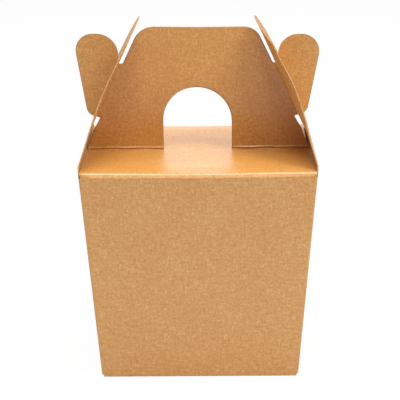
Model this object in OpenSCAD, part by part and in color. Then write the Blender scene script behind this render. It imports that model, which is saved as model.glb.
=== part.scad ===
// Takeaway box with a carry handle, folded from one blank of kraft board.
// The front and back walls run on over the roof and stand up together as the
// handle. The side walls run on as leaning flaps, and the ears of the handle
// pass out through the slots in those flaps and hold the box shut.
// X is across the front wall, Y is from front to back, Z is up, and the origin
// is the middle of the base. Sizes are millimetres.

/* [Board] */
// Thickness of the board
board_t = 0.45; // [0.35:0.05:0.6]
// Air between two layers that lie on each other
layer_gap = 0.1; // [0.05:0.05:0.2]

/* [Body] */
// Width across the top of the front wall
top_w = 110; // [104:1:124]
// Depth across the top of the side wall
top_d = 96; // [88:1:112]
// Width of the base
base_w = 94; // [84:1:104]
// Depth of the base
base_d = 83; // [72:1:88]
// Height of the walls up to the roof
wall_h = 103; // [80:1:130]
// Radius of the folds at the four upright corners
corner_r = 0.6; // [0.4:0.05:0.7]

/* [Roof] */
// Radius of the soft fold between a wall and the roof
roof_r = 1.7; // [1:0.1:3]
// Space between a side edge of the roof and the side wall
roof_clear = 0.35; // [0.2:0.05:0.8]

/* [Handle] */
// Height of the handle above the roof
handle_h = 59.2; // [56:0.2:61]
// Radius of the two upper corners of the handle
handle_r = 10; // [4:0.5:12]
// Width of the finger hole
hole_w = 34; // [24:1:44]
// Height of the finger hole above the roof
hole_h = 30.5; // [26:0.5:38]
// Width of the cut round the tongue of the finger hole
cut_w = 0.15; // [0.1:0.05:0.3]
// Radius of the fold at the foot of the handle
crease_r = 0.4; // [0.3:0.05:0.8]
// Space between the sides of the handle and the side flaps
flap_clear = 2.8; // [1.5:0.1:3]

/* [Ears] */
// How far the upper corner of an ear stands out past the top of the box
ear_reach = 5.4; // [4:0.1:7]
// How far the lower corner of an ear stays inside the top of the box
ear_foot_in = 2; // [0:0.1:2.5]
// Height of the top of the ears above the roof
ear_top = 55.8; // [54:0.1:60]
// Height of the bottom of the ears above the roof
ear_bottom = 17; // [14:0.1:22]
// Radius of the two upper corners of an ear
ear_r = 9; // [6:0.5:9.5]
// Radius of the lower corner of an ear
ear_foot_r = 5; // [2:0.5:8]
// Height of the top of the neck that passes through a side flap
neck_top = 45; // [42:0.5:48]
// Depth of the slit beside the neck, below the top of the neck
slit_drop = 3.3; // [2:0.1:5]

/* [Side flaps] */
// Height of the tip of a side flap above the roof
flap_h = 64.3; // [62:0.1:72]
// Radius of the round top of a side flap
flap_r = 20; // [14:0.5:22]
// Height of the side fold above the roof
fold_lift = 2.5; // [1:0.1:4]
// Radius of the side fold
fold_r = 2; // [1:0.1:4]
// Lean of a side flap just above its fold, in degrees
foot_lean = 16; // [12:0.5:19]
// Lean of the left flap at its tip, in degrees
left_lean = 26.8; // [24:0.2:28]
// Lean of the right flap at its tip, in degrees
right_lean = 27.2; // [24:0.2:30]
// Length of the curve between the two leans
flap_curve = 38; // [30:1:42]
// Space on each side of the neck in its slot
slot_clear = 0.25; // [0.15:0.05:0.5]

/* [Base] */
// Radius of the folds round the base
base_r = 0.8; // [0.7:0.05:1.2]
// Height of the tuck flap inside the back wall
tuck_h = 14; // [10:1:20]
// Length of each dust flap inside the base
dust_l = 34; // [20:1:38]
// Width of the glued seam flap inside the left wall
seam_w = 14; // [8:1:20]
// Space between the edges of the base flaps and the walls
base_clear = 0.4; // [0.2:0.05:0.8]

/* [Hidden] */
board_colour = "#d19c63";
// Angle between two points on a fold and on a round corner
fold_step = 15;
round_step = 10;
// Reach of a cutting or trimming body past what it trims
past = 20;
// How far a flap's section runs on into the board that carries it
lap = 2;
// Lean of the front and back walls, and of the side walls, outwards
front_lean = atan((top_d - base_d) / 2 / wall_h);
side_lean = atan((top_w - base_w) / 2 / wall_h);
// The front roof rises by one layer, so that its tongue lies on the back roof
ridge = board_t + layer_gap;
handle_face = board_t + layer_gap / 2;
roof_half = top_w / 2 - board_t - roof_clear;
front_slope = atan(ridge / (top_d / 2 - handle_face));
hole_r = hole_w / 2;
slot_half = handle_face + slot_clear;
seam_inset = 5;
// Angle at which the round of a corner fold runs into the walls
corner_run = 12;
// Each wall stops this far short of the sharp corner that the fold rounds off
corner_short = corner_r / 6;

// Direction of a step at an angle, and the direction to the left of it
function ahead(a) = [cos(a), sin(a)];
function left_of(a) = [-sin(a), cos(a)];
function heading(p, q) = atan2(q[1] - p[1], q[0] - p[0]);
function turn_of(a, b) = (b - a + 540) % 360 - 180;

// One rounded corner at q between p and s: a list of [point, heading]
function bend(p, q, s, r, step) =
    let (
        a = heading(p, q),
        turn = turn_of(a, heading(q, s)),
        side = sign(turn),
        start = q - r * tan(abs(turn) / 2) * ahead(a),
        middle = start + side * r * left_of(a),
        n = max(2, ceil(abs(turn) / step))
    )
    r == 0 ? [[q, a + turn / 2]] :
    [for (k = [0:n]) let (b = a + turn * k / n) [middle - side * r * left_of(b), b]];

// The outer face of a strip, from its corners and the radius of each fold
function strip_line(c, r, step = fold_step) = [
    [c[0], heading(c[0], c[1])],
    for (i = [1:len(c) - 2]) each bend(c[i - 1], c[i], c[i + 1], r[i - 1], step),
    [c[len(c) - 1], heading(c[len(c) - 2], c[len(c) - 1])]
];

// The section of a strip: its outer face, and the inner face one board away
function strip_section(line, from = 0, to = board_t) = concat(
    [for (s = line) s[0] - from * left_of(s[1])],
    [for (i = [len(line) - 1:-1:0]) line[i][0] - to * left_of(line[i][1])]
);

// A closed outline with a radius at each corner
function outline(c, r) = [
    for (i = [0:len(c) - 1])
        let (n = len(c))
        each [for (s = bend(c[(i + n - 1) % n], c[i], c[(i + 1) % n], r[i], round_step)) s[0]]
];

// Left and right of a list of points, told apart by the sign of x
function flipped(points) = [for (i = [len(points) - 1:-1:0]) [-points[i][0], points[i][1]]];

// Half width and half depth of the body at a height
function half_w(z) = base_w / 2 + z * tan(side_lean);
function half_d(z) = base_d / 2 + z * tan(front_lean);

// Height at which a wall that leans out by an angle is straight, above the
// fold at its foot, with a part of the lap to spare
function fold_top(lean) = base_r * tan(45 + lean / 2) * cos(lean) + lap / 8;

// The outer face of the left wall and its flap, seen from the front
function side_line(lean) =
    let (
        fold = [-half_w(wall_h + fold_lift), wall_h + fold_lift],
        curve_r = flap_curve / (lean - foot_lean) * 180 / PI,
        foot = fold_r * tan((side_lean + foot_lean) / 2) + curve_r * tan((lean - foot_lean) / 2) + 0.2,
        knee = fold + foot * [sin(foot_lean), cos(foot_lean)],
        rest = (wall_h + flap_h + past - knee[1]) / cos(lean),
        tip = knee + rest * [sin(lean), cos(lean)],
        start_z = board_t + layer_gap + fold_top(side_lean)
    )
    strip_line([[-half_w(start_z), start_z], fold, knee, tip], [fold_r, curve_r], 1.6);

// Distance of the flap's outer face from the middle, at a height above the roof
function flap_x(z, lean) =
    lookup(wall_h + z, [for (s = side_line(lean)) [s[0][1], -s[0][0]]]);
function flap_inner_x(z, lean) = flap_x(z, lean) - board_t / cos(lean);

// One half of the handle's outline above the roof, for the flap on that side
function half_handle(lean) =
    let (
        slit_z = neck_top - slit_drop,
        ear_in = flap_x(neck_top, lean) + 0.3,
        panel_x = flap_inner_x(slit_z, lean) - flap_clear,
        c = [
            [0, handle_h],
            [flap_inner_x(handle_h, lean) - flap_clear, handle_h],
            [panel_x, slit_z],
            [ear_in, slit_z],
            [ear_in, ear_top],
            [top_w / 2 + ear_reach, ear_top],
            [top_w / 2 - ear_foot_in, ear_bottom],
            [flap_inner_x(ear_bottom, lean) - flap_clear, ear_bottom],
            [roof_half, 0]
        ],
        slit_r = (ear_in - panel_x) * 0.4
    )
    [for (s = strip_line(c, [handle_r, slit_r, slit_r, ear_r, ear_r, ear_foot_r, 0.6], round_step)) s[0]];

// Solids made from a section seen from the side, from the front or from above
module side_view(reach) {
    rotate([90, 0, 90]) linear_extrude(height = reach, center = true) children();
}
module front_view(reach) {
    rotate([90, 0, 0]) linear_extrude(height = reach, center = true) children();
}

// The front of one upright strip: trapezoid wall, roof band and handle
module strip_front() {
    bend_z = wall_h - roof_r * 1.1;
    foot = half_w(0) - corner_short;
    head = half_w(bend_z) - corner_short;
    polygon([[-foot, 0], [foot, 0], [head, bend_z], [-head, bend_z]]);
    translate([-roof_half, bend_z - 0.5]) square([2 * roof_half, wall_h - bend_z + 0.5 + ridge]);
    translate([0, wall_h]) polygon(concat(flipped(half_handle(left_lean)), half_handle(right_lean)));
}

// The finger hole, from below the roof up
module hole_front() {
    straight = hole_h - hole_r;
    translate([-hole_r, wall_h - past]) square([hole_w, past + straight]);
    translate([0, wall_h + straight]) circle(r = hole_r, $fn = 96);
}

// The tongue that the finger hole leaves in the plane of the roof, from above
module tongue_top(root_y) {
    r = hole_r - cut_w;
    straight = hole_h - hole_r;
    translate([-r, root_y]) square([2 * r, straight - root_y]);
    translate([0, straight]) circle(r = r, $fn = 96);
}

// Wall, roof and handle in one strip. rise is how far the roof climbs to the
// handle, and foot_z is where the wall starts
module wall_strip(rise, foot_z, tongue_rise) {
    slope = atan(rise / (top_d / 2 - handle_face));
    crease = [-handle_face, wall_h + rise];
    corners = [
        [-half_d(foot_z), foot_z], [-top_d / 2, wall_h], crease, [-handle_face, wall_h + handle_h + past]
    ];
    root = crease - crease_r * tan((90 - slope) / 2) * ahead(slope);
    start = root - lap * ahead(slope);
    tip = root + (hole_h + past) * ahead(tongue_rise);
    middle = (slope + tongue_rise) / 2;
    difference() {
        intersection() {
            side_view(2 * top_w) polygon(strip_section(strip_line(corners, [roof_r, crease_r])));
            front_view(2 * top_d) strip_front();
        }
        translate([0, past + root[0], 0]) front_view(2 * past) hole_front();
    }
    intersection() {
        side_view(top_w) polygon([
            start, root, tip,
            tip - board_t * left_of(tongue_rise),
            root - board_t / cos(slope - middle) * left_of(middle),
            start - board_t * left_of(slope)
        ]);
        translate([0, 0, wall_h - past]) linear_extrude(height = 2 * past) tongue_top(start[0] + lap / 2);
    }
}

// A side wall and its leaning flap, with the slot for the neck of the ear
module side_strip(lean) {
    tip_z = wall_h + flap_h - flap_r;
    foot = half_d(0) - corner_short;
    head = top_d / 2 - corner_short;
    intersection() {
        front_view(2 * top_d) polygon(strip_section(side_line(lean)));
        side_view(2 * top_w) difference() {
            union() {
                polygon([
                    [-foot, 0], [foot, 0], [head, wall_h], flap_tangent(1),
                    flap_tangent(-1), [-head, wall_h]
                ]);
                translate([0, tip_z]) circle(r = flap_r, $fn = 96);
            }
            slot_side();
        }
    }
}

// Where the straight side of a flap meets its round top
function flap_tangent(side) =
    let (
        c = [0, wall_h + flap_h - flap_r],
        away = [side * (top_d / 2 - corner_short), wall_h] - c,
        a = atan2(away[1], away[0]) + side * acos(flap_r / norm(away))
    )
    c + flap_r * ahead(a);

// The slot for the neck, seen from the side, with round ends
module slot_side() {
    low = wall_h + ear_bottom - slot_clear;
    high = wall_h + neck_top + slot_clear;
    translate([-slot_half, low]) square([2 * slot_half, high - low]);
    for (z = [low, high]) translate([0, z]) circle(r = slot_half, $fn = 24);
}

// The base panel, folded from the foot of the front wall and tucked up inside
// the back wall
module base_flap() {
    joint_z = fold_top(front_lean) + lap;
    slant_z = joint_z + lap / 2;
    back = half_d(0) - (board_t + layer_gap) / cos(front_lean);
    half = base_w / 2 - board_t - base_clear;
    line = strip_line([
        [back + tuck_h * tan(front_lean), tuck_h], [back, 0], [-half_d(0), 0], [-half_d(joint_z), joint_z]
    ], [base_r, base_r]);
    intersection() {
        side_view(2 * top_w) polygon(strip_section(line));
        front_view(2 * top_d) polygon([
            [-half, -1], [half, -1], [half, slant_z], [half - tuck_h / 4, slant_z + tuck_h],
            [tuck_h / 4 - half, slant_z + tuck_h], [-half, slant_z]
        ]);
    }
}

// A dust flap, folded from the foot of the left wall over the base panel
module dust_flap() {
    low = board_t + layer_gap;
    joint_z = low + fold_top(side_lean) + lap;
    half = base_d / 2 - 2 * board_t - layer_gap - base_clear;
    line = strip_line([
        [dust_l - half_w(0), low], [-half_w(low), low], [-half_w(joint_z), joint_z]
    ], [base_r]);
    intersection() {
        front_view(2 * top_d) polygon(strip_section(line));
        linear_extrude(height = 2 * joint_z) polygon([
            [-top_w, -half], [-base_w / 2 + 2, -half], [dust_l + 1 - base_w / 2, -half + 5],
            [dust_l + 1 - base_w / 2, half - 5], [-base_w / 2 + 2, half], [-top_w, half]
        ]);
    }
}

// The seam flap of the back wall, glued to the inside of the left wall
module seam_flap() {
    line = [for (z = [seam_inset, wall_h - seam_inset]) [[-half_w(z), z], 90 + side_lean]];
    intersection() {
        front_view(2 * top_d) polygon(strip_section(line, board_t / 2, 2 * board_t));
        side_view(2 * top_w) polygon([
            [half_d(0) - board_t / 2, 0], [half_d(wall_h) - board_t / 2, wall_h],
            [half_d(wall_h) - seam_w, wall_h - seam_inset - seam_w / 2],
            [half_d(0) - seam_w, seam_inset + seam_w / 2]
        ]);
    }
}

// What the fold at an upright corner takes off the sharp corner
module corner_cut(sx, sy) {
    rise = [sx * (top_w - base_w) / 2, sy * (top_d - base_d) / 2, wall_h];
    spin = atan2(rise[1], rise[0]);
    tilt = acos(rise[2] / norm(rise));
    deep = corner_r * cos(corner_run);
    in_x = half_w(0) - deep / cos(side_lean);
    in_y = half_d(0) - deep / cos(front_lean);
    translate([sx * in_x, sy * in_y, 0])
        rotate([0, 0, spin]) rotate([0, tilt, 0]) rotate([0, 0, -spin])
            translate([0, 0, -lap]) linear_extrude(height = norm(rise) + 2 * lap) difference() {
                scale([sx, sy]) square(2 * corner_r);
                circle(r = corner_r, $fn = 48);
            }
}

module carton() {
    color(board_colour) difference() {
        union() {
            wall_strip(ridge, fold_top(front_lean), 0);
            mirror([0, 1, 0]) wall_strip(0, 0, -front_slope);
            side_strip(left_lean);
            mirror([1, 0, 0]) side_strip(right_lean);
            base_flap();
            dust_flap();
            mirror([1, 0, 0]) dust_flap();
            seam_flap();
        }
        for (sx = [-1, 1], sy = [-1, 1]) corner_cut(sx, sy);
    }
}

carton();
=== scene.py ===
"""A takeaway box folded from one blank of brown kraft board, closed by its own handle.

Every panel is a flat piece of the blank: an outline in blank coordinates (u across, s along the
fold track, millimetres), filled with triangles and carried by a track of straight runs and fold
arcs into the row frame. The board's thickness is then added all at once. Sizes are millimetres
until the mesh is written, and camera, floor and lamps are in metres.
"""
import math

import bpy
import numpy as np
from mathutils import Matrix, Vector
from mathutils.geometry import delaunay_2d_cdt


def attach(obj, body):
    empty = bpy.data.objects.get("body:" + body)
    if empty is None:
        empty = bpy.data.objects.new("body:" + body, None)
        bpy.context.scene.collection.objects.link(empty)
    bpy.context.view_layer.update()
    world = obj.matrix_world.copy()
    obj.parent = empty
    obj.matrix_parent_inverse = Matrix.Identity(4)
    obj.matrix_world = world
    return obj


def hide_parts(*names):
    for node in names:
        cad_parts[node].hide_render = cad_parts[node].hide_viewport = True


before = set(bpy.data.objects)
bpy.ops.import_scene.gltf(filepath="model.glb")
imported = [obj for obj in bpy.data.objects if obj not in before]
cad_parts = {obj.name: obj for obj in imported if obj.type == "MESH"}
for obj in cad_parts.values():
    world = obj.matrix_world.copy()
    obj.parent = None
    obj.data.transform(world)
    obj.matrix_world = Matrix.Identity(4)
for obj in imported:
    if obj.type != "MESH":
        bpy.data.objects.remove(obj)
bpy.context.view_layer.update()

# Sizes in millimetres, as in the solid model
MM = 0.001
BOARD = 0.45
LAYER_GAP = 0.10
TOP_W, TOP_D = 110.0, 96.0
BASE_W, BASE_D = 94.0, 83.0
WALL_H = 103.0
HANDLE_H = 59.2
HOLE_W, HOLE_H = 34.0, 30.5
CUT_W = 0.15
BASE_R, ROOF_R, CREASE_R = 0.8, 1.7, 0.4
NECK_TOP, SLIT_DROP, EAR_FOOT_R = 45.0, 3.3, 5.0
FLAP_R, FOLD_LIFT, FOLD_R, FOOT_LEAN, FLAP_CURVE = 20.0, 2.5, 2.0, 16.0, 38.0
SLOT_CLEAR, BASE_CLEAR = 0.25, 0.4
TUCK_H, DUST_L, SEAM_W = 14.0, 34.0, 14.0

# Sizes that stand a little off the solid's. The upright corners are rounder, the roof and the
# handle come closer to the side flaps, and the flaps end just inside the solid's height.
CORNER_R = 1.0
ROOF_CLEAR = 0.08
FLAP_CLEAR, SLIT_CLEAR = 2.5, 2.9
FLAP_H = 64.28
# The upright corner folds run between these heights
CORNER_LOW, CORNER_HIGH = 1.5, 100.9
# The score flattens the front fold into a narrow facet, this far down the wall and back on the roof
FACET_DOWN, FACET_BACK, FACET_R = 1.9, 1.3, (0.45, 1.6)
# The handle's foot is pressed down this far below the solid's, over the length of the roof
ROOF_DROP, ROOF_RUN = 1.4, 47.0
# The top edge of the handle dips in the middle. The ears' neck ends this far below the ear, and its
# heel lies this share of the way from there to the corner of the roof.
CROWN_DIP, NECK_BELOW, HEEL_WAY = 0.25, 1.6, 0.42
# The side flaps' slot is wider than the solid's and ends lower, where the ears were pushed through
SLOT_WIDER, SLOT_BELOW = 0.35, 0.9
# The back wall's edge at the glued seam lies this far inside the left wall, whose raw edge runs out
SEAM_IN, RAW_OUT = BOARD + 0.03, CORNER_R - 0.12
# The back roof stops this far short of the right flap and leaves a dark gap there
BACK_ROOF_SHORT = 1.1

# Hand folding leaves the two sides a little apart, so these are given for the left and the right
LEAN = {-1: 26.8, 1: 27.1}
HANDLE_R = {-1: 10.5, 1: 9.0}
HANDLE_RISE = {-1: 0.3, 1: -0.15}
FOOT_CLEAR = {-1: 2.5, 1: 3.6}
EAR_INSET = {-1: 0.3, 1: 0.8}
EAR_HALF = {-1: 59.95, 1: 59.9}
EAR_FOOT_HALF = {-1: 53.55, 1: 52.5}
EAR_TOP = {-1: 56.2, 1: 55.3}
EAR_BOTTOM = {-1: 16.8, 1: 17.1}
EAR_IN_R = {-1: 10.5, 1: 9.5}
EAR_OUT_R = {-1: 8.0, 1: 8.3}
BACK_HEEL_OUT = {-1: 0.6, 1: 0.9}
# The score at each ear's root: height of its ridge, and its distance from the flap
SCORE_H = {-1: 0.07, 1: 0.20}
SCORE_IN = {-1: 2.5, 1: 2.9}
# The bend of each flap: pull of the ears, spring of the front and the back part, and front lip
FLAP_PULL = {-1: 1.2, 1: 2.1}
FLAP_SPRING = {-1: 0.2, 1: 2.5}
FLAP_SPRING_BACK = {-1: 0.2, 1: 0.4}
FLAP_LIP = {-1: 0.5, 1: 0.75}

RIDGE = BOARD + LAYER_GAP
HANDLE_FACE = BOARD + LAYER_GAP / 2
ROOF_HALF = TOP_W / 2 - BOARD - ROOF_CLEAR
FRONT_TAN = (TOP_D - BASE_D) / 2 / WALL_H
SIDE_TAN = (TOP_W - BASE_W) / 2 / WALL_H
HOLE_R = HOLE_W / 2
HOLE_STRAIGHT = HOLE_H - HOLE_R

# The front strip of the blank (False) and the back strip (True): how far the handle's outline
# stands in from the sizes above, and the finger hole's radius, shift and lift. The two holes lie a
# little apart, so the back layer shows as a dark rim at the right.
HANDLE_IN = {False: 0.38, True: 0.03}
ARCH_R = {False: HOLE_R - 0.27, True: HOLE_R}
ARCH_SHIFT = {False: -0.27, True: 0.85}
ARCH_LIFT = {False: 0.46, True: -0.55}
# How far the front fold sags and the handle's layers part, and how the tongues lie
FOLD_SAG = {False: 0.45, True: 0.8}
LAYER_PART = {False: 0.5, True: 1.1}
TONGUE_FALL = {False: 0.0, True: 0.0115}
TONGUE_SINK = {False: 0.09, True: 0.0}
# Quarter turns that bring a strip to its wall, and its place on the blank, which carries the fibres
STRIP_QUARTER, SIDE_QUARTER = {False: 0, True: 2}, {-1: 3, 1: 1}
STRIP_BLANK = {False: (0, 0), True: (260, 90)}
SIDE_BLANK, SEAM_BLANK = 130, 300

# The walls' bulge ends this far from their upright edges and below the roof
BOW_EDGE, BOW_H = 1.0, WALL_H - 6

# Spacing of the points across a panel, and the smallest turn and climb that count as one
PITCH = 2.6
SMALL_TURN, SMALL_CLIMB = 1e-6, 1e-9


def half_w(z):
    """Half the body's width at a height."""
    return BASE_W / 2 + z * SIDE_TAN


def half_d(z):
    """Half the body's depth at a height."""
    return BASE_D / 2 + z * FRONT_TAN


# Tracks: folded lines seen from the side
def ahead(a):
    """Unit vector along a heading."""
    return np.stack([np.cos(a), np.sin(a)], -1)


def left_of(a):
    """Unit vector a quarter turn to the left of a heading."""
    return np.stack([-np.sin(a), np.cos(a)], -1)


def folded_line(corners, radii, step):
    """Straight runs joined by arcs: at each corner the heading turns evenly from the run before
    it to the run after it, on a circle of the given radius. Gives points and headings."""
    corners = np.asarray(corners, float)
    run = np.diff(corners, axis=0)
    head = np.arctan2(run[:, 1], run[:, 0])
    points, heads = [corners[:1]], [head[:1]]
    for q, a, b, r in zip(corners[1:-1], head[:-1], head[1:], radii):
        turn = (b - a + math.pi) % (2 * math.pi) - math.pi
        side = math.copysign(1.0, turn)
        n = max(2, math.ceil(abs(turn) / math.radians(step)))
        angle = a + turn * np.linspace(0, 1, n + 1)
        centre = q - r * math.tan(abs(turn) / 2) * ahead(a) + side * r * left_of(a)
        points.append(centre - side * r * left_of(angle))
        heads.append(angle)
    points.append(corners[-1:])
    heads.append(head[-1:])
    return np.concatenate(points), np.unwrap(np.concatenate(heads))


class Track:
    """A panel's fold track in a wall's own frame: distance outwards is -y, height is z, and s is
    the length along the board's outer face. It climbs from its last level or falling step on, or
    from its start if it is said to rise all the way."""

    def __init__(self, corners, radii, step=5.0, rises=False):
        self.points, self.heads = folded_line(corners, radii, step)
        step_s = np.linalg.norm(np.diff(self.points, axis=0), axis=1)
        self.s = np.concatenate([[0], np.cumsum(step_s)])
        level = np.flatnonzero(np.diff(self.points[:, 1]) <= SMALL_CLIMB)
        self.climb = 0 if rises else int(level[-1]) + 1

    def at(self, s):
        """Points at lengths s, carried straight on past both ends."""
        y = np.interp(s, self.s, self.points[:, 0])
        z = np.interp(s, self.s, self.points[:, 1])
        over = np.maximum(s - self.s[-1], 0) + np.minimum(s - self.s[0], 0)
        end = np.where(s > self.s[-1], self.heads[-1], self.heads[0])
        return y + over * np.cos(end), z + over * np.sin(end)

    def s_at_height(self, z):
        """Length along the track where it climbs through a height."""
        return np.interp(z, self.points[self.climb:, 1], self.s[self.climb:])

    def turns(self):
        """Numbers of the points after which the track turns."""
        return np.flatnonzero(np.abs(np.diff(self.heads)) > SMALL_TURN)

    def crease(self):
        """Where the fold at the foot of the handle, the last one, starts and ends."""
        last = self.turns()[-1] + 1
        first = last
        while first > 0 and abs(self.heads[first] - self.heads[first - 1]) > SMALL_TURN:
            first -= 1
        return self.s[first], self.s[last]

    def handle_lift(self):
        """What a height on the handle takes on to become a length along the track."""
        _, high = self.crease()
        return high - self.at(np.array([high]))[1][0]


def side_track(lean):
    """Dust flap, side wall and leaning flap: the flap's lean grows evenly with length from the
    lean at its foot to the lean of its straight tip."""
    fold_run, tip_spare = 0.2, 2.0
    low = BOARD + LAYER_GAP
    fold_z = WALL_H + FOLD_LIFT
    curve_r = FLAP_CURVE / math.radians(lean - FOOT_LEAN)
    tip_in, foot_in = math.radians(lean), math.radians(FOOT_LEAN)
    foot = FOLD_R * math.tan((math.atan(SIDE_TAN) + foot_in) / 2)
    foot += curve_r * math.tan((tip_in - foot_in) / 2) + fold_run
    fold = np.array([-half_w(fold_z), fold_z])
    knee = fold + foot * np.array([math.sin(foot_in), math.cos(foot_in)])
    tip_run = (WALL_H + FLAP_H + tip_spare - knee[1]) / math.cos(tip_in)
    tip = knee + tip_run * np.array([math.sin(tip_in), math.cos(tip_in)])
    corners = [(DUST_L - half_w(0), low), (-half_w(low), low), fold, knee, tip]
    return Track(corners, [BASE_R, FOLD_R, curve_r], step=1.2)


SIDE = {-1: side_track(LEAN[-1]), 1: side_track(LEAN[1])}
BACK_IN = half_d(0) - (BOARD + LAYER_GAP) * math.hypot(1, FRONT_TAN)
FRONT = Track(
    [(BACK_IN + TUCK_H * FRONT_TAN, TUCK_H), (BACK_IN, 0), (-half_d(0), 0),
     (-TOP_D / 2 + FACET_DOWN * FRONT_TAN, WALL_H - FACET_DOWN), (FACET_BACK - TOP_D / 2, WALL_H),
     (-HANDLE_FACE, WALL_H + RIDGE), (-HANDLE_FACE, WALL_H + HANDLE_H)],
    [BASE_R, BASE_R, *FACET_R, CREASE_R])
BACK = Track(
    [(-half_d(0), 0), (-TOP_D / 2, WALL_H), (-HANDLE_FACE, WALL_H), (-HANDLE_FACE, WALL_H + HANDLE_H)],
    [ROOF_R, CREASE_R], rises=True)
STRIP = {False: FRONT, True: BACK}


def flap_x(z, side):
    """Distance of a side flap's outer face from the middle, at a height above the roof."""
    track = SIDE[side]
    return -np.interp(WALL_H + z, track.points[track.climb:, 1], track.points[track.climb:, 0])


def flap_inner_x(z, side):
    """The same for its inner face."""
    return flap_x(z, side) - BOARD / math.cos(math.radians(LEAN[side]))


# Outlines of the blank's panels
def half_handle(side, back, roof_half):
    """One half of the handle's outline in blank coordinates, from the middle of its top edge down
    to the end of the crease. The slit and the neck follow the side flap they go round."""
    track = STRIP[back]
    slit_z = NECK_TOP - SLIT_DROP
    ear_in = flap_x(NECK_TOP, side) + EAR_INSET[side]
    panel_x = flap_inner_x(slit_z, side) - SLIT_CLEAR
    top, low = EAR_TOP[side] - HANDLE_IN[back], EAR_BOTTOM[side] + HANDLE_IN[back]
    foot = np.array([flap_inner_x(low, side) - FOOT_CLEAR[side], low - NECK_BELOW])
    heel_out = BACK_HEEL_OUT[side] if back else 0
    heel = foot + HEEL_WAY * (np.array([roof_half, 0]) - foot) + [heel_out, 0]
    brow = HANDLE_H + HANDLE_RISE[side]
    corners = [
        (0, HANDLE_H - CROWN_DIP), (flap_inner_x(brow, side) - FLAP_CLEAR - HANDLE_IN[back], brow),
        (panel_x - HANDLE_IN[back], slit_z), (ear_in, slit_z), (ear_in, top),
        (EAR_HALF[side] - HANDLE_IN[back], top), (EAR_FOOT_HALF[side] - HANDLE_IN[back], low),
        foot, heel, (roof_half, 0)]
    slit_r, heel_r, roof_r = (ear_in - panel_x) * 0.4, 0.6, 0.3
    radii = [HANDLE_R[side], slit_r, slit_r, EAR_IN_R[side], EAR_OUT_R[side], EAR_FOOT_R, heel_r, roof_r]
    points, _ = folded_line(corners, radii, 6.0)
    low_s, high_s = track.crease()
    points[:, 1] += track.handle_lift() + WALL_H
    points = points[points[:, 1] > high_s + 0.3]
    return np.concatenate([points, [[roof_half, low_s]]])


def wall_edge(track, levels, half):
    """A wall's side edge in blank coordinates, at the given heights."""
    return np.stack([half(levels) - CORNER_R, track.s_at_height(levels)], -1)


# Filling an outline with triangles
# Points of the grid stay this far off the lines that are set by hand
LINE_CLEAR = 0.8


def edges_of(loop):
    """Starts and ends of a closed loop's edges."""
    return loop, np.roll(loop, -1, axis=0)


def inside(p, loop):
    """Whether points lie in a loop: a level ray from each crosses an odd number of its edges."""
    a, b = edges_of(loop)
    px, py = p[:, None, 0], p[:, None, 1]
    spans = (a[None, :, 1] > py) != (b[None, :, 1] > py)
    rise = np.where(b[:, 1] == a[:, 1], 1, b[:, 1] - a[:, 1])
    cross = a[None, :, 0] + (py - a[None, :, 1]) / rise * (b[:, 0] - a[:, 0])[None]
    return (spans & (px < cross)).sum(1) % 2 == 1


def clearance(p, loop):
    """Distance of each point from the nearest edge of a loop."""
    a, b = edges_of(loop)
    d = b - a
    t = ((p[:, None] - a[None]) * d[None]).sum(2) / np.maximum((d ** 2).sum(1), 1e-12)
    near = a[None] + np.clip(t, 0, 1)[..., None] * d[None]
    return np.sqrt(((p[:, None] - near) ** 2).sum(2).min(1))


def with_rows(loop, rows, pitch):
    """The loop with a point added wherever an edge crosses a row, and long edges split evenly."""
    out = []
    for a, b in zip(*edges_of(loop)):
        cuts = [0.0]
        if abs(b[1] - a[1]) > 1e-9:
            t = (rows - a[1]) / (b[1] - a[1])
            cuts += list(t[(t > 1e-6) & (t < 1 - 1e-6)])
        elif np.linalg.norm(b - a) > pitch:
            cuts += list(np.linspace(0, 1, math.ceil(np.linalg.norm(b - a) / pitch) + 1)[1:-1])
        out.append(a + np.sort(cuts)[:, None] * (b - a))
    return np.concatenate(out)


def fill(outline, rows, pitch, holes=(), lines=()):
    """Points on rows across an outline, with the outline's own, joined into triangles. Returns the
    points in blank coordinates and the triangles."""
    loops = [with_rows(np.asarray(outline, float), rows, pitch)]
    loops += [with_rows(np.asarray(h, float), rows, pitch) for h in holes]
    lo, hi = loops[0].min(0), loops[0].max(0)
    n = max(2, round((hi[0] - lo[0]) / pitch))
    across = (np.arange(n) + 0.5) / n * (hi[0] - lo[0]) + lo[0]
    grid = np.stack(np.meshgrid(across, rows), -1).reshape(-1, 2)
    gap = np.gradient(rows) if len(rows) > 1 else np.ones(1)
    # Grid points keep off every edge by less than half a pitch, and by less where rows are close
    reach = np.repeat(np.minimum(0.45 * pitch, 0.7 * gap + 0.05), n)
    keep = inside(grid, loops[0])
    for loop in loops:
        keep &= clearance(grid, loop) > reach
    for loop in loops[1:]:
        keep &= ~inside(grid, loop)
    for line in lines:
        keep &= clearance(grid, np.asarray(line, float)) > LINE_CLEAR
    points = [grid[keep]] + [np.asarray(line, float) for line in lines]
    count = sum(len(p) for p in points)
    edges = []
    for loop in loops:
        k = count + np.arange(len(loop))
        edges.append(np.stack([k, np.roll(k, -1)], -1))
        points.append(loop)
        count += len(loop)
    points = np.concatenate(points)
    edges = [tuple(int(i) for i in e) for e in np.concatenate(edges)]
    _, _, tris, origin, _, _ = delaunay_2d_cdt([Vector(p) for p in points], edges, [], 0, 1e-7)
    first = np.array([o[0] for o in origin])
    tris = first[np.array([t for t in tris if len(t) == 3])]
    middle = points[tris].mean(1)
    keep = inside(middle, loops[0])
    for loop in loops[1:]:
        keep &= ~inside(middle, loop)
    tris = tris[keep]
    a, b, c = (points[tris[:, i]] for i in range(3))
    area = (b[:, 0] - a[:, 0]) * (c[:, 1] - a[:, 1]) - (b[:, 1] - a[:, 1]) * (c[:, 0] - a[:, 0])
    tris[area < 0] = tris[area < 0][:, ::-1]
    return points, tris[np.abs(area) > 1e-7]


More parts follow.
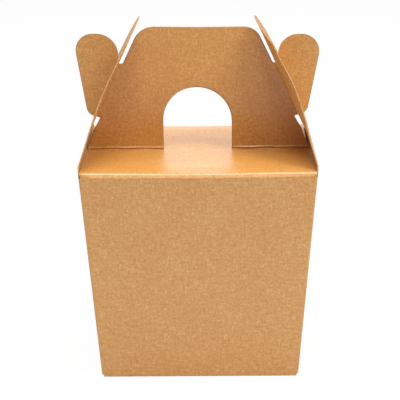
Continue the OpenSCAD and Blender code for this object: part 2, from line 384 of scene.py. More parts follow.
# The board
# Points closer than this are one. The cells are moved off the round numbers that many points have.
WELD, WELD_OFF = 0.004, 0.137
# Step of the differences that give a normal
NEAR = 0.02
# Folds sharper than this many degrees keep a hard edge in the shading
SHARP = 35


class Board:
    """Single faces of board gathered from panels, welded where they share an edge, and then given
    their thickness."""

    def __init__(self):
        self.points, self.normals, self.uv, self.tris = [], [], [], []
        self.count = 0

    def add(self, place, flat, tris, quarter, uv_shift):
        """Carries blank points by place(u, s) and turns them quarter turns about Z. The normal is
        the cross product of the two directions along the board, from central differences."""
        u, s = flat[:, 0], flat[:, 1]
        across = place(u + NEAR, s) - place(u - NEAR, s)
        along = place(u, s + NEAR) - place(u, s - NEAR)
        normal = np.cross(across, along)
        normal /= np.linalg.norm(normal, axis=1)[:, None]
        turn = quarter_turn(quarter)
        self.add_surface(place(u, s) @ turn.T, normal @ turn.T, flat + uv_shift, tris)

    def add_surface(self, points, normals, uv, tris):
        """A surface that is already in the row frame."""
        self.points.append(points)
        self.normals.append(normals)
        self.uv.append(uv)
        self.tris.append(tris + self.count)
        self.count += len(points)

    def add_grid(self, points, normals, uv):
        """A surface given as rows of points, with its normals on the side that faces out."""
        rows, cols = points.shape[:2]
        k = np.arange(rows * cols).reshape(rows, cols)
        a, b, c, d = k[:-1, :-1].ravel(), k[:-1, 1:].ravel(), k[1:, 1:].ravel(), k[1:, :-1].ravel()
        tris = np.concatenate([np.stack([a, b, c], -1), np.stack([a, c, d], -1)])
        flat = points.reshape(-1, 3)
        face = np.cross(flat[tris[:, 1]] - flat[tris[:, 0]], flat[tris[:, 2]] - flat[tris[:, 0]])
        if (face * normals.reshape(-1, 3)[tris[:, 0]]).sum() < 0:
            tris = tris[:, ::-1]
        self.add_surface(flat, normals.reshape(-1, 3), uv.reshape(-1, 2), tris)

    def mesh(self, name, materials):
        """Welds, then puts the inner face one board below the outer one and joins both along
        every free edge with a cut edge."""
        p, n = np.concatenate(self.points), np.concatenate(self.normals)
        uv, tris = np.concatenate(self.uv), np.concatenate(self.tris)
        key = np.round(p / WELD + WELD_OFF).astype(np.int64)
        _, first, back = np.unique(key, axis=0, return_index=True, return_inverse=True)
        back = back.ravel()
        normal = np.zeros((len(first), 3))
        np.add.at(normal, back, n)
        normal /= np.linalg.norm(normal, axis=1)[:, None]
        outer = p[first]
        welded = back[tris]
        good = (welded != np.roll(welded, 1, axis=1)).all(1)
        tris, welded = tris[good], welded[good]
        sides = np.concatenate([welded[:, [0, 1]], welded[:, [1, 2]], welded[:, [2, 0]]])
        side_uv = np.concatenate([tris[:, [0, 1]], tris[:, [1, 2]], tris[:, [2, 0]]])
        code = np.sort(sides, 1)
        _, index, times = np.unique(code, axis=0, return_index=True, return_counts=True)
        free = index[times == 1]
        a, b = sides[free].T
        m = len(outer)
        rim = np.stack([b, a, a + m, b + m], -1)
        rim_uv = np.stack([side_uv[free, 1], side_uv[free, 0], side_uv[free, 0], side_uv[free, 1]], -1)
        verts = np.concatenate([outer, outer - BOARD * normal]) * MM
        corners = np.concatenate([welded.ravel(), welded[:, ::-1].ravel() + m, rim.ravel()])
        flat_uv = np.concatenate([uv[tris.ravel()], uv[tris[:, ::-1].ravel()], uv[rim_uv.ravel()]]) * MM
        sizes = np.concatenate([np.full(2 * len(tris), 3), np.full(len(rim), 4)])
        mesh = bpy.data.meshes.new(name)
        mesh.vertices.add(len(verts))
        mesh.vertices.foreach_set("co", verts.ravel())
        mesh.loops.add(len(corners))
        mesh.loops.foreach_set("vertex_index", corners)
        mesh.polygons.add(len(sizes))
        mesh.polygons.foreach_set("loop_start", np.concatenate([[0], np.cumsum(sizes)[:-1]]))
        # Material 0 is the outside, 1 the inside and 2 the cut edge
        kind = np.repeat(np.arange(3, dtype=np.int32), [len(tris), len(tris), len(rim)])
        for material in materials:
            mesh.materials.append(material)
        mesh.update(calc_edges=True)
        mesh.polygons.foreach_set("material_index", kind)
        mesh.uv_layers.new(name="blank").data.foreach_set("uv", flat_uv.ravel())
        mesh.polygons.foreach_set("use_smooth", np.ones(len(sizes), bool))
        mesh.set_sharp_from_angle(angle=math.radians(SHARP))
        mesh.validate()
        return mesh


def quarter_turn(quarter):
    """Matrix of a number of quarter turns about Z. Rows of points take its transpose."""
    return np.linalg.matrix_power(np.array([[0, -1, 0], [1, 0, 0], [0, 0, 1]]), quarter % 4)


def spaced(lo, hi, pitch):
    """Even steps from lo to hi, no longer than the pitch."""
    return np.linspace(lo, hi, max(2, math.ceil((hi - lo) / pitch) + 1))


def bump(t):
    """1 in the middle and 0 with level ends at t = -1 and 1."""
    return np.where(np.abs(t) < 1, (1 - np.clip(t, -1, 1) ** 2) ** 2, 0)


# How real board departs from its plan, all in millimetres
def wall_bow(u, z, half):
    """The walls bulge a little where food and handling push them out, and never at their folds: a
    bump across, times the sine of the height, times 0.42 mm with a slow wave of 0.07 mm."""
    across = bump(u / half)
    up = np.clip(z / BOW_H, 0, 1)
    return across * np.sin(math.pi * up) * (0.42 + 0.07 * np.sin(3.1 * math.pi * up + u * 0.05))


def handle_wave(x, z):
    """Both handle layers wave together, as pressed sheets do, and bow forwards between the crease
    and the top edge. The wave is two slow sines of 0.16 and 0.10 mm, and the bow is 1 mm times the
    squared sine of the height, less towards the side flaps."""
    rise = z - WALL_H
    bow = np.sin(math.pi * np.clip(rise / 62, 0, 1)) ** 2 * np.clip(1 - (x / 46) ** 2, 0, 1)
    wave = 0.16 * np.sin(x * 0.058 + 0.6) + 0.10 * np.sin(x * 0.021 - z * 0.07)
    return np.clip((rise - 2) / 30, 0, 1) * wave - 1.0 * bow


def crease_lips(u, s, low, high):
    """The score leaves a lip on each side of the fold: one that overhangs at the panel's foot, and
    a low one on the roof. Each is a bell curve over the length, of a height that waves slowly
    along the fold. Gives how far each stands out of its panel."""
    foot = (0.38 + 0.07 * np.sin(u * 0.31)) * np.exp(-((s - high - 0.58) / 0.33) ** 2)
    roof = (0.13 + 0.05 * np.sin(u * 0.23 + 2)) * np.exp(-((s - low + 2.6) / 0.9) ** 2)
    roof = roof * np.clip(np.abs(u) - HOLE_R, 0, 1)
    return foot, roof


def roof_drop(s, fold_s, low, high):
    """The handle's foot is pressed down, so the roof falls towards it and the first 9 mm of the
    handle take the difference up: ROOF_DROP times the 1.4th power of the way from the front fold."""
    way = np.clip((s - fold_s) / (low - fold_s), 0, 1)
    return ROOF_DROP * way ** 1.4 * (1 - np.clip((s - high) / 9, 0, 1))


def layers_apart(x, z):
    """The two handle layers stand apart round the finger hole, by a bell curve of the distance
    from it, and along their free top edge."""
    from_hole = np.hypot(x, np.maximum(z - WALL_H - HOLE_STRAIGHT, 0)) - HOLE_R
    hole = 0.55 * np.exp(-(from_hole / 7) ** 2) * np.clip((z - WALL_H - 2) / 12, 0, 1)
    return hole + 0.30 * np.clip((z - WALL_H - 42) / 10, 0, 1)


def ear_score(x, z):
    """A ridge down each ear's root, beside the side flap, where it was bent to go through the
    slot: a bell curve of the distance from the score, faded out at both ends."""
    up = z - WALL_H
    ridge = 0
    for side in (-1, 1):
        line = side * (flap_inner_x(np.clip(up, 0, FLAP_H - 2), side) - SCORE_IN[side])
        ridge = ridge + SCORE_H[side] * np.exp(-((x - line) / 0.6) ** 2)
    return ridge * np.clip((up - 14) / 5, 0, 1) * np.clip((46 - up) / 4, 0, 1)


def facet_push(u, s, facet_s):
    """The front fold's facet dies out over the last 9 mm at the left corner, where the fold is
    sharp, and narrows over the last 14 mm at the right. Gives how far the facet is pushed out."""
    left = np.clip((-u - ROOF_HALF + 9) / 9, 0, 1) ** 2 * 0.9
    right = np.clip((u - ROOF_HALF + 14) / 14, 0, 1) * 0.3
    return (left + right) * 0.95 * np.clip(1 - np.abs(s - facet_s) / 1.5, 0, 1)


def strip_place(back):
    """Wall, roof and handle of a front or back strip: the track's point at s, plus the bulge of
    the wall, the sag of the front fold between its corners and of the roof, the roof's fall to the
    handle, the waves and the gap of the handle's layers, and the lips and ripple of its crease."""
    track = STRIP[back]
    low, high = track.crease()
    fold_s = track.s_at_height(WALL_H - 0.6)
    facet_s = track.s_at_height(WALL_H - 0.9)
    turn = -1 if back else 1

    def place(u, s):
        y, z = track.at(s)
        on_wall = (s < fold_s) & (z > 0.5) & (y < -BASE_D / 4)
        y = y - np.where(on_wall, wall_bow(u, z, TOP_W / 2 - BOW_EDGE), 0)
        across = bump(u / (ROOF_HALF + 1))
        z = z - FOLD_SAG[back] * across * bump((s - fold_s - 1) / 9)
        if not back:
            # Out and up by 0.7 of the push, and never within 0.13 mm of the foremost plane
            push = facet_push(u, s, facet_s)
            y = np.where(push > 0, np.maximum(y - 0.7 * push, 0.13 - TOP_D / 2), y)
            z = z + 0.7 * push
        on_roof = np.clip((s - fold_s - 2) / 12, 0, 1) * np.clip((low - s) / 8, 0, 1)
        z = z - 0.18 * on_roof * across
        z = z - roof_drop(s, fold_s, low, high)
        x = turn * u
        on_handle = np.clip((s - low) / (high - low), 0, 1)
        y = y + on_handle * (turn * handle_wave(x, z) - LAYER_PART[back] * layers_apart(x, z))
        ripple = 0.11 * np.sin(u * 0.43 + turn) + 0.09 * np.sin(u * 0.19 + 2 * turn)
        z = z + np.exp(-((s - (low + high) / 2) / 1.4) ** 2) * ripple
        foot_lip, roof_lip = crease_lips(u, s, low, high)
        y, z = y - foot_lip, z + roof_lip
        if not back:
            y = y - on_handle * ear_score(u, z)
        return np.stack([u, y, z], -1)

    return place


def side_place(side):
    """Dust flap, side wall and flap: the track's point at s, plus the bulge of the wall and the bend
    of the flap. The ears pull its middle in and its front edge springs back out, most of all on the
    right: the pull fades with the square of the distance from the middle, the spring grows with its
    fourth power and the lip with its 16th, so that a strip along the front edge turns to the front.
    Just above the fold the flap's front corner comes in by up to 0.6 mm."""
    track = SIDE[side]

    def place(u, s):
        y, z = track.at(s)
        on_wall = (z > 2) & (z < WALL_H) & (y < -BASE_W / 4)
        y = y - np.where(on_wall, wall_bow(u, z, TOP_D / 2 - BOW_EDGE) * 0.9, 0)
        up = z - WALL_H - FOLD_LIFT
        forward = np.clip(-side * u / 45, 0, 1)
        y = y + 0.6 * forward ** 2 * np.clip(up / 8, 0, 1) * np.exp(-np.clip(up, 0, None) / 60)
        rise = np.clip(up + FOLD_LIFT, 0, None)
        away = np.clip(np.abs(u) / (TOP_D / 2 - 0.565 * np.clip(rise, 0, 54)), 0, 1) ** 2
        ramp = np.clip((rise - 6) / 18, 0, 1)
        fade = 1 - 0.75 * np.clip((rise - 32) / 26, 0, 1)
        middle = FLAP_PULL[side] * ramp ** 2 * (3 - 2 * ramp) * fade
        front = FLAP_SPRING[side] * away ** 2 + FLAP_LIP[side] * away ** 8
        out = np.where(-side * u > 0, front, FLAP_SPRING_BACK[side] * away ** 2)
        out = out * (1 - np.exp(-(rise / 25) ** 2.3)) * (1 - 0.28 * np.clip((rise - 38) / 10, 0, 1))
        return np.stack([u, y + middle * (1 - away) - out, z], -1)

    return place


def mirrored(points):
    """The other half of an outline, in the order that closes it."""
    return (points * [-1, 1])[::-1]


# The front and the back strip: wall, roof and handle, and before the front wall base and tuck flap
LEVELS = spaced(CORNER_LOW, CORNER_HIGH, 4.0)


def strip_half(side, back):
    """One half of a strip's outline, from its lower end to the middle of the handle's top edge.
    The back strip is turned round, so there the blank's right half is the box's left."""
    track = STRIP[back]
    box_side = -side if back else side
    roof_half = ROOF_HALF - (BACK_ROOF_SHORT if back and box_side > 0 else 0)
    handle = half_handle(box_side, back, roof_half)
    if back:
        foot = [[BASE_W / 2 - CORNER_R, 0.0]]
    else:
        half = BASE_W / 2 - BOARD - BASE_CLEAR
        base_s = track.s[track.turns()[0]]
        foot = [[half - TUCK_H / 4, 0.0], [half, base_s], [half, track.s_at_height(BASE_R)]]
    wall = np.concatenate([foot, wall_edge(track, LEVELS, half_w)])
    if back and box_side < 0:
        # The glued seam: this edge of the back wall runs on inside the left wall
        wall[:, 0] -= SEAM_IN
    head = [[roof_half, track.s_at_height(WALL_H - 0.8)]]
    return np.concatenate([wall, head, handle[::-1]])


def arch(r, foot):
    """The half circle at the end of the finger hole or its tongue."""
    angle = np.linspace(0, math.pi, 41)
    return np.stack([r * np.cos(angle), foot + r * np.sin(angle)], -1)


def finger_hole(back):
    """The finger hole, with the two short cuts that free its tongue at the crease."""
    low, _ = STRIP[back].crease()
    r = ARCH_R[back]
    straight = HOLE_STRAIGHT + WALL_H + STRIP[back].handle_lift() + ARCH_LIFT[back]
    hole = np.concatenate([[[r - CUT_W, low], [r, low]], arch(r, straight), [[-r, low], [CUT_W - r, low]]])
    return hole + [ARCH_SHIFT[back], 0]


def strip_rows(back):
    """Rows of points across a strip: at its fold points, at the corner folds' heights, close
    together at the crease's lips, and in even steps over the roof, the handle and the base. On
    the wall only the corner folds' heights are kept."""
    track = STRIP[back]
    low, high = track.crease()
    level_s = track.s_at_height(LEVELS)
    fold = track.s[(track.s > 0.01) & (track.s < low - 0.01)]
    fold = fold[np.concatenate([[True], np.diff(fold) > 0.02])]
    rows = [fold, level_s, np.arange(low - 0.7, high + 1.7, 0.13), [low], spaced(low - 4.9, low - 1.0, 0.4)]
    rows.append(spaced(track.s_at_height(WALL_H - 0.2) + 2.6, low - 5.4, 3.0))
    rows.append(spaced(high + 2.1, high + HANDLE_H - 1.5, 2.2))
    if not back:
        rows.append(spaced(2, track.s[track.climb] - 2, 4.0))
    rows = np.unique(np.round(np.concatenate(rows), 6))
    on_edge = np.isin(rows, np.round(level_s, 6))
    on_wall = (rows > level_s[0] + 1e-4) & (rows < level_s[-1] - 1e-4)
    return rows[on_edge | ~on_wall]


def score_lines():
    """Points along the front handle's two scores beside the side flaps, so that their ridges have
    a shape."""
    up = np.linspace(13, 47, 30)
    s = up + FRONT.handle_lift() + WALL_H
    lines = []
    for side in (-1, 1):
        for off in (-1.1, -0.7, -0.35, 0, 0.35, 0.7, 1.1):
            lines.append(np.stack([side * (flap_inner_x(up, side) - SCORE_IN[side]) + off, s], -1))
    return lines


def add_strip(board, back):
    """Adds a front or back strip to the board."""
    outline = np.concatenate([strip_half(1, back), mirrored(strip_half(-1, back))[1:]])
    lines = [] if back else score_lines()
    flat, tris = fill(outline, strip_rows(back), PITCH, [finger_hole(back)], lines)
    board.add(strip_place(back), flat, tris, STRIP_QUARTER[back], STRIP_BLANK[back])


def add_tongue(board, back):
    """Adds the tongue that a finger hole leaves. It lies on in the plane of the roof, which rises
    again behind the handle as it falls before it."""
    low, _ = STRIP[back].crease()
    place = strip_place(back)
    r = ARCH_R[back] - CUT_W
    straight = HOLE_STRAIGHT - STRIP[back].at(np.array([low]))[0][0]
    tongue = np.concatenate([[[-r, 0], [r, 0]], arch(r, straight)]) + [ARCH_SHIFT[back], 0]
    flat, tris = fill(tongue, spaced(0, straight + r - 0.4, PITCH), PITCH)
    fall = TONGUE_FALL[back] - ROOF_DROP / ROOF_RUN

    def tongue_place(u, s):
        root = place(u, np.full_like(s, low))
        sink = TONGUE_SINK[back] * np.clip(s / 12, 0, 1)
        return np.stack([u, root[:, 1] + s, root[:, 2] - s * fall - sink], -1)

    board.add(tongue_place, flat, tris, STRIP_QUARTER[back], np.add(STRIP_BLANK[back], [0, low]))


# The side strips: dust flap, wall and leaning flap with its slot
def flap_edge(track):
    """A side flap's edge in blank coordinates, from the corner of the roof straight to where it
    meets the circle of the tip, and round that circle to the middle."""
    centre = np.array([0, WALL_H + FLAP_H - FLAP_R])
    head = np.array([TOP_D / 2 - CORNER_R, WALL_H])
    away = head - centre
    tangent = math.atan2(away[1], away[0]) + math.acos(FLAP_R / np.linalg.norm(away))
    tip = centre + FLAP_R * ahead(np.linspace(tangent, math.pi / 2, 24))
    edge = np.concatenate([head + np.linspace(0, 1, 30)[:-1, None] * (tip[0] - head), tip])
    edge[:, 1] = track.s_at_height(edge[:, 1])
    return edge


def lip_lines(edge):
    """Lines of points a little inside both edges of a flap, so that its lip has a shape."""
    along = np.gradient(edge, axis=0)
    inward = np.stack([-along[:, 1], along[:, 0]], -1) / np.linalg.norm(along, axis=1)[:, None]
    return [(edge + d * inward)[6:-6] * [way, 1] for d in (0.5, 1.1, 1.9, 2.9) for way in (-1, 1)]


def slot(side):
    """The slot for the ears in a side flap: two half circles joined by straight edges."""
    half = HANDLE_FACE + SLOT_CLEAR + SLOT_WIDER
    ends = WALL_H + np.array([EAR_BOTTOM[side] - SLOT_BELOW - SLOT_CLEAR, NECK_TOP + SLOT_CLEAR])
    low, high = SIDE[side].s_at_height(ends)
    turn = np.linspace(0, math.pi, 9)
    return np.concatenate([[0, high] + half * ahead(turn), [0, low] + half * ahead(turn + math.pi)])


def add_side(board, side):
    """Adds a side strip to the board. The left wall's edge at the back corner is raw, because the
    seam flap is glued inside it."""
    track = SIDE[side]
    half = BASE_D / 2 - 2 * BOARD - LAYER_GAP - BASE_CLEAR
    foot = [[half - 5, 0.0], [half, DUST_L - 2.0]]
    edge, flap = wall_edge(track, LEVELS, half_d), flap_edge(track)
    raw_out = RAW_OUT if side < 0 else 0
    right = np.concatenate([foot, edge, flap])
    left = np.concatenate([foot, edge + [raw_out, 0], flap])
    outline = np.concatenate([right, mirrored(left)[1:]])
    roof_s = track.s_at_height(WALL_H)
    fold = track.s[(track.s > track.s_at_height(CORNER_HIGH) + 0.3) & (track.s < roof_s + 8)]
    rows = [track.s_at_height(LEVELS), track.s[1:track.climb + 1], spaced(2, DUST_L - 2, 4.0), fold]
    rows.append(spaced(roof_s + 8.5, track.s_at_height(WALL_H + FLAP_H - 0.5), 2.0))
    rows = np.unique(np.round(np.concatenate(rows), 6))
    flat, tris = fill(outline, rows, PITCH, [slot(side)], lip_lines(flap))
    board.add(side_place(side), flat, tris, SIDE_QUARTER[side], (side * SIDE_BLANK, 0))


# The folds and the seam that join the strips
def placed_edge(track, place, half, side, quarter):
    """A wall's edge points on one side in the row frame, and their lengths along the track."""
    edge = wall_edge(track, LEVELS, half)
    return place(side * edge[:, 0], edge[:, 1]) @ quarter_turn(quarter).T, edge[:, 1]


def add_corner(board, sx, sy):
    """Adds the upright fold of radius CORNER_R between a front or back wall and a side wall: a
    quarter circle round a centre one radius inside both walls."""
    back = sy > 0
    a, s = placed_edge(STRIP[back], strip_place(back), half_w, -sx * sy, STRIP_QUARTER[back])
    b, _ = placed_edge(SIDE[sx], side_place(sx), half_d, sx * sy, SIDE_QUARTER[sx])
    angle = np.linspace(0, math.pi / 2, 6)
    out = np.stack([sx * np.sin(angle), sy * np.cos(angle), 0 * angle], -1)
    centre = np.stack([sx * (half_w(LEVELS) - CORNER_R), sy * (half_d(LEVELS) - CORNER_R), LEVELS], -1)
    points = centre[:, None] + CORNER_R * out[None]
    points[:, 0], points[:, -1] = a, b
    tilt = np.array([0, 0, -1.0]) * (FRONT_TAN * np.cos(angle) + SIDE_TAN * np.sin(angle))[:, None]
    normals = np.broadcast_to(out + tilt, points.shape)
    across = half_w(LEVELS)[:, None] + CORNER_R * angle[None] - sx * SIDE_BLANK / 2
    uv = np.stack(np.broadcast_arrays(across, s[:, None]), -1)
    board.add_grid(points, normals / np.linalg.norm(normals, axis=2)[..., None], uv)


def add_seam(board):
    """Adds the flap of the back wall that is glued inside the left wall: a quarter circle from the
    wall's edge, and on from it a flat strip with slanted ends."""
    levels = LEVELS[1:-1]
    edge = wall_edge(BACK, levels, half_w)
    angle = np.linspace(0, math.pi / 2, 5)
    centre = np.stack([SEAM_IN + CORNER_R - half_w(levels), half_d(levels) - CORNER_R, levels], -1)
    out = np.stack([-np.sin(angle), np.cos(angle), 0 * angle], -1)
    fold = centre[:, None] + CORNER_R * out[None]
    fold[:, 0] = strip_place(True)(edge[:, 0] - SEAM_IN, edge[:, 1]) @ quarter_turn(2).T
    width = SEAM_W * np.minimum(1, np.minimum(levels, WALL_H - levels) / 12)
    t = np.linspace(0, 1, 7)[1:]
    flat = fold[:, -1:] - np.stack([0 * t, t, 0 * t], -1)[None] * width[:, None, None]
    flat[..., 0] -= 0.9 * wall_bow(flat[..., 1], flat[..., 2], TOP_D / 2 - BOW_EDGE)
    points = np.concatenate([fold, flat], 1)
    lean = np.array([0, 0, -SIDE_TAN])
    normals = np.concatenate([out + lean, np.tile([[-1.0, 0, 0]], (len(t), 1)) + lean])
    normals = np.broadcast_to(normals / np.linalg.norm(normals, axis=1)[:, None], points.shape)
    run = np.concatenate([CORNER_R * angle, CORNER_R * math.pi / 2 + t * SEAM_W])
    across = SEAM_BLANK + half_w(levels)[:, None] + run[None]
    uv = np.stack(np.broadcast_arrays(across, edge[:, 1:] + STRIP_BLANK[True][1]), -1)
    board.add_grid(points, normals, uv)


def folded_carton():
    """The whole folded blank as one board."""
    board = Board()
    for back in (False, True):
        add_strip(board, back)
        add_tongue(board, back)
    for side in (-1, 1):
        add_side(board, side)
    for sx, sy in ((-1, -1), (1, -1), (1, 1)):
        add_corner(board, sx, sy)
    add_seam(board)
    return board


# Materials
def linear(hex_colour):
    """sRGB hex to linear red, green, blue and full alpha."""
    value = hex_colour.lstrip("#")
    c = np.array([int(value[i:i + 2], 16) / 255 for i in (0, 2, 4)])
    c = np.where(c <= 0.04045, c / 12.92, ((c + 0.055) / 1.055) ** 2.4)
    return (*c, 1.0)


def add(tree, kind, links=(), sockets=None, **settings):
    """A node with its settings. A link is (input, source node, output), and sockets gives values to
    inputs by name or number."""
    node = tree.nodes.new(kind)
    for key, value in settings.items():
        setattr(node, key, value)
    for key, value in (sockets or {}).items():
        node.inputs[key].default_value = value
    for socket, source, output in links:
        tree.links.new(source.outputs[output], node.inputs[socket])
    return node


RANGE = ("From Min", "From Max", "To Min", "To Max")
# Sizes of the board's pattern in millimetres: its clouds, the mottle and the strands of its fibres,
# and the spacing of its specks. Real fibres are about 0.03 mm wide, too fine to show, so mottle and
# strands are drawn about 0.5 mm wide, which is half of the size that each repeats at.
CLOUD, MOTTLE, STRAND, WEFT, SPECK = 100 / 5.5, 100 / 105, 100 / 90, 100 / 85, 100 / 9.5
PALE_FIBRE, DARK_SPECK = "#e3bd8a", "#6b4526"
# Pale fibres are greyer than dark ones, so blue changes most with the shade and red least
SHADE_TINT = (0.50, 1.05, 2.6)
# Paper's IOR is about 1.5. The shine on the roof in the photograph, seen along the surface, needs more.
BOARD_IOR = 1.7


def kraft(name, colour, gloss):
    """Unbleached kraft board, pressed between rollers: short brown and pale fibres felted into a
    cloudy sheet, with a smooth skin that shines when seen along the surface. The pattern follows
    the blank, whose coordinates are metres. Four noises are multiplied into the shade: clouds, a
    fine mottle, and strands along and across the sheet. Pale fibres and dark specks are laid over."""
    material = bpy.data.materials.new(name)
    material.use_nodes = True
    tree = material.node_tree
    shader = tree.nodes["Principled BSDF"]
    blank = add(tree, "ShaderNodeUVMap", uv_map="blank")
    from_blank = [("Vector", blank, "UV")]
    grain = add(tree, "ShaderNodeMapping", from_blank, {"Scale": (1.0, 0.8, 1.0)})
    along = add(tree, "ShaderNodeMapping", from_blank, {"Scale": (0.32, 1.0, 1.0), "Rotation": (0, 0, 0.5)})
    across = add(tree, "ShaderNodeMapping", from_blank, {"Scale": (1.0, 0.3, 1.0), "Rotation": (0, 0, 0.35)})
    noises, shade = [], None
    for source, size, look, low, high in (
            (grain, CLOUD, {"Detail": 3.0, "Roughness": 0.6}, 0.925, 1.075),
            (grain, MOTTLE, {"Detail": 1.5, "Roughness": 0.6}, 0.72, 1.28),
            (along, STRAND, {"Detail": 1.0, "Distortion": 0.6}, 0.87, 1.13),
            (across, WEFT, {"Detail": 1.0, "Distortion": 0.6}, 0.88, 1.12)):
        scale = {"Scale": 1 / (size * MM)}
        noises.append(add(tree, "ShaderNodeTexNoise", [("Vector", source, "Vector")], {**scale, **look}))
        limits = dict(zip(RANGE, (0.2, 0.8, low, high)))
        part = add(tree, "ShaderNodeMapRange", [("Value", noises[-1], "Fac")], limits)
        if shade:
            part = add(tree, "ShaderNodeMath", [(0, shade, 0), (1, part, 0)], operation="MULTIPLY")
        shade = part
    _, mottle, strand, weft = noises
    above = add(tree, "ShaderNodeMath", [(0, shade, 0)], {1: 1.0}, operation="SUBTRACT")
    tint = add(tree, "ShaderNodeVectorMath", [(0, above, 0)], {1: SHADE_TINT, 2: (1, 1, 1)},
               operation="MULTIPLY_ADD")
    body = add(tree, "ShaderNodeVectorMath", [(1, tint, 0)], {0: linear(colour)[:3]}, operation="MULTIPLY")

    # Mix reads its colours from inputs 6 and 7 and gives its own at output 2
    limits = dict(zip(RANGE, (0.70, 0.76, 0.0, 0.22)))
    pale = add(tree, "ShaderNodeMapRange", [("Value", weft, "Fac")], limits)
    fibre = add(tree, "ShaderNodeMix", data_type="RGBA")
    spots = add(tree, "ShaderNodeTexVoronoi", from_blank, {"Scale": 1 / (SPECK * MM), "Randomness": 1.0})
    chance = add(tree, "ShaderNodeSeparateColor", [("Color", spots, "Color")])
    # One cell in five holds a speck, with a radius of up to 0.045 of the cells' size
    limits = dict(zip(RANGE, (0.80, 1.0, 0.0, 0.045)))
    size = add(tree, "ShaderNodeMapRange", [("Value", chance, "Red")], limits)
    speck = add(tree, "ShaderNodeMath", [(0, size, 0), (1, spots, "Distance")], operation="SUBTRACT")
    limits = dict(zip(RANGE, (0.0, 0.012, 0.0, 0.42)))
    speck = add(tree, "ShaderNodeMapRange", [("Value", speck, 0)], limits)
    dark = add(tree, "ShaderNodeMix", data_type="RGBA")
    for mix, part, below, over in ((fibre, pale, body.outputs[0], PALE_FIBRE),
                                   (dark, speck, fibre.outputs[2], DARK_SPECK)):
        tree.links.new(part.outputs[0], mix.inputs[0])
        tree.links.new(below, mix.inputs[6])
        mix.inputs[7].default_value = linear(over)
    tree.links.new(dark.outputs[2], shader.inputs["Base Color"])

    felt = add(tree, "ShaderNodeMath", [(0, mottle, "Fac"), (1, strand, "Fac")], operation="ADD")
    relief = add(tree, "ShaderNodeBump", [("Height", felt, 0)], {"Strength": 0.35, "Distance": 0.06 * MM})
    tree.links.new(relief.outputs[0], shader.inputs["Normal"])
    shader.inputs["Roughness"].default_value = gloss
    shader.inputs["IOR"].default_value = BOARD_IOR
    return material


# The outer face is the smooth one, the inner face is duller, and the die leaves a rough, pale edge
outside = kraft("kraft_board_outside", "#c88e44", 0.40)
inside_face = kraft("kraft_board_inside", "#c59154", 0.5)
cut_edge = kraft("kraft_board_cut_edge", "#b98955", 0.8)

carton_mesh = folded_carton().mesh("carton_folded", [outside, inside_face, cut_edge])
carton = bpy.data.objects.new("carton_folded", carton_mesh)
bpy.context.scene.collection.objects.link(carton)
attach(carton, "root")
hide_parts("carton")

# Camera, fitted to the photograph's corners and edges: its place in metres, its turns and its lens
CAMERA_PLACE = (0.007287, -0.70961, 0.28595)
LENS, SENSOR = 135.24, 36
pitch, yaw, roll = math.radians(16.468), math.radians(-0.559), math.radians(0.563)
scene = bpy.context.scene
camera = bpy.data.objects.new("camera", bpy.data.cameras.new("camera"))
scene.collection.objects.link(camera)
look = np.array([math.sin(yaw) * math.cos(pitch), math.cos(yaw) * math.cos(pitch), -math.sin(pitch)])
level = np.array([math.cos(yaw), -math.sin(yaw), 0.0])
upright = np.cross(level, look)
right = level * math.cos(roll) - upright * math.sin(roll)
top = level * math.sin(roll) + upright * math.cos(roll)
turned = np.stack([right, top, -look], 1)
camera.matrix_world = Matrix([[*row, place] for row, place in zip(turned, CAMERA_PLACE)] + [[0, 0, 0, 1]])
camera.data.sensor_width = SENSOR
camera.data.lens = LENS
camera.data.clip_start, camera.data.clip_end = 0.05, 20
scene.camera = camera

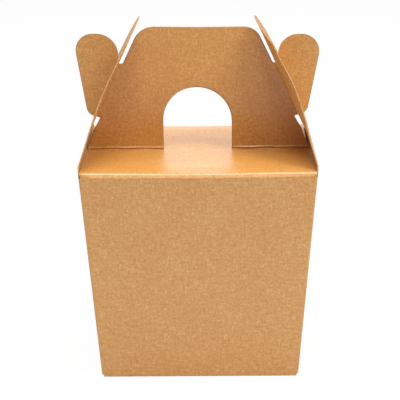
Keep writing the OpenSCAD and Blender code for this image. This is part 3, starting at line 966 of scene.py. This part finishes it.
# Floor: white paper. The camera sees it mostly at full white, with the object's shadow faint on it.
FLOOR_HALF = 4
FLOOR_WHITE = 0.965
floor_mesh = bpy.data.meshes.new("floor")
corners = [(x * FLOOR_HALF, y * FLOOR_HALF, 0) for x, y in ((-1, -1), (1, -1), (1, 1), (-1, 1))]
floor_mesh.from_pydata(corners, [], [(0, 1, 2, 3)])
floor = bpy.data.objects.new("floor", floor_mesh)
scene.collection.objects.link(floor)
sweep = bpy.data.materials.new("white_paper_sweep")
sweep.use_nodes = True
tree = sweep.node_tree
shader = tree.nodes["Principled BSDF"]
shader.inputs["Base Color"].default_value = linear("#fbfbfb")
shader.inputs["Roughness"].default_value = 0.9
shader.inputs["Specular IOR Level"].default_value = 0.1
ray = add(tree, "ShaderNodeLightPath")
white = add(tree, "ShaderNodeEmission", sockets={"Strength": 1.0})
seen = add(tree, "ShaderNodeMath", [(0, ray, "Is Camera Ray")], {1: FLOOR_WHITE}, operation="MULTIPLY")
both = add(tree, "ShaderNodeMixShader", [(0, seen, 0), (1, shader, "BSDF"), (2, white, "Emission")])
tree.links.new(both.outputs[0], tree.nodes["Material Output"].inputs["Surface"])
floor_mesh.materials.append(sweep)

# A white tent: camera and gloss see it at full white, and the softboxes do most of the lighting
TENT = 0.07
world = bpy.data.worlds.new("studio")
scene.world = world
world.use_nodes = True
tree = world.node_tree
ray = add(tree, "ShaderNodeLightPath")
seen = add(tree, "ShaderNodeMath", [(0, ray, "Is Camera Ray"), (1, ray, "Is Glossy Ray")],
           operation="MAXIMUM")
seen = add(tree, "ShaderNodeMath", [(0, seen, 0), (1, ray, "Is Transmission Ray")], operation="MAXIMUM")
strength = add(tree, "ShaderNodeMapRange", [("Value", seen, 0)], {"To Min": TENT, "To Max": 1.0})
tree.nodes["Background"].inputs["Color"].default_value = (1, 1, 1, 1)
tree.links.new(strength.outputs[0], tree.nodes["Background"].inputs["Strength"])


def softbox(name, place, size, power, aim=(0, 0, 0.1)):
    """A square softbox at a place in metres, turned to aim at a point of the box."""
    light = bpy.data.lights.new(name, "AREA")
    light.shape, light.size, light.energy = "SQUARE", size, power
    ob = bpy.data.objects.new(name, light)
    ob.location = place
    ob.rotation_euler = (Vector(aim) - Vector(place)).to_track_quat("-Z", "Y").to_euler()
    scene.collection.objects.link(ob)


softbox("softbox_left", (-0.9, -0.3, 0.45), 0.5, 0.8)
softbox("softbox_right", (0.6, -0.45, 0.95), 0.4, 6.4)
softbox("softbox_top", (0, 0.05, 1.1), 0.8, 10.4)
softbox("softbox_front_top", (0, -0.4, 1.05), 0.3, 3.0)
softbox("softbox_back", (0, 1.0, 0.38), 0.5, 0.65)

scene.view_settings.view_transform = "Standard"
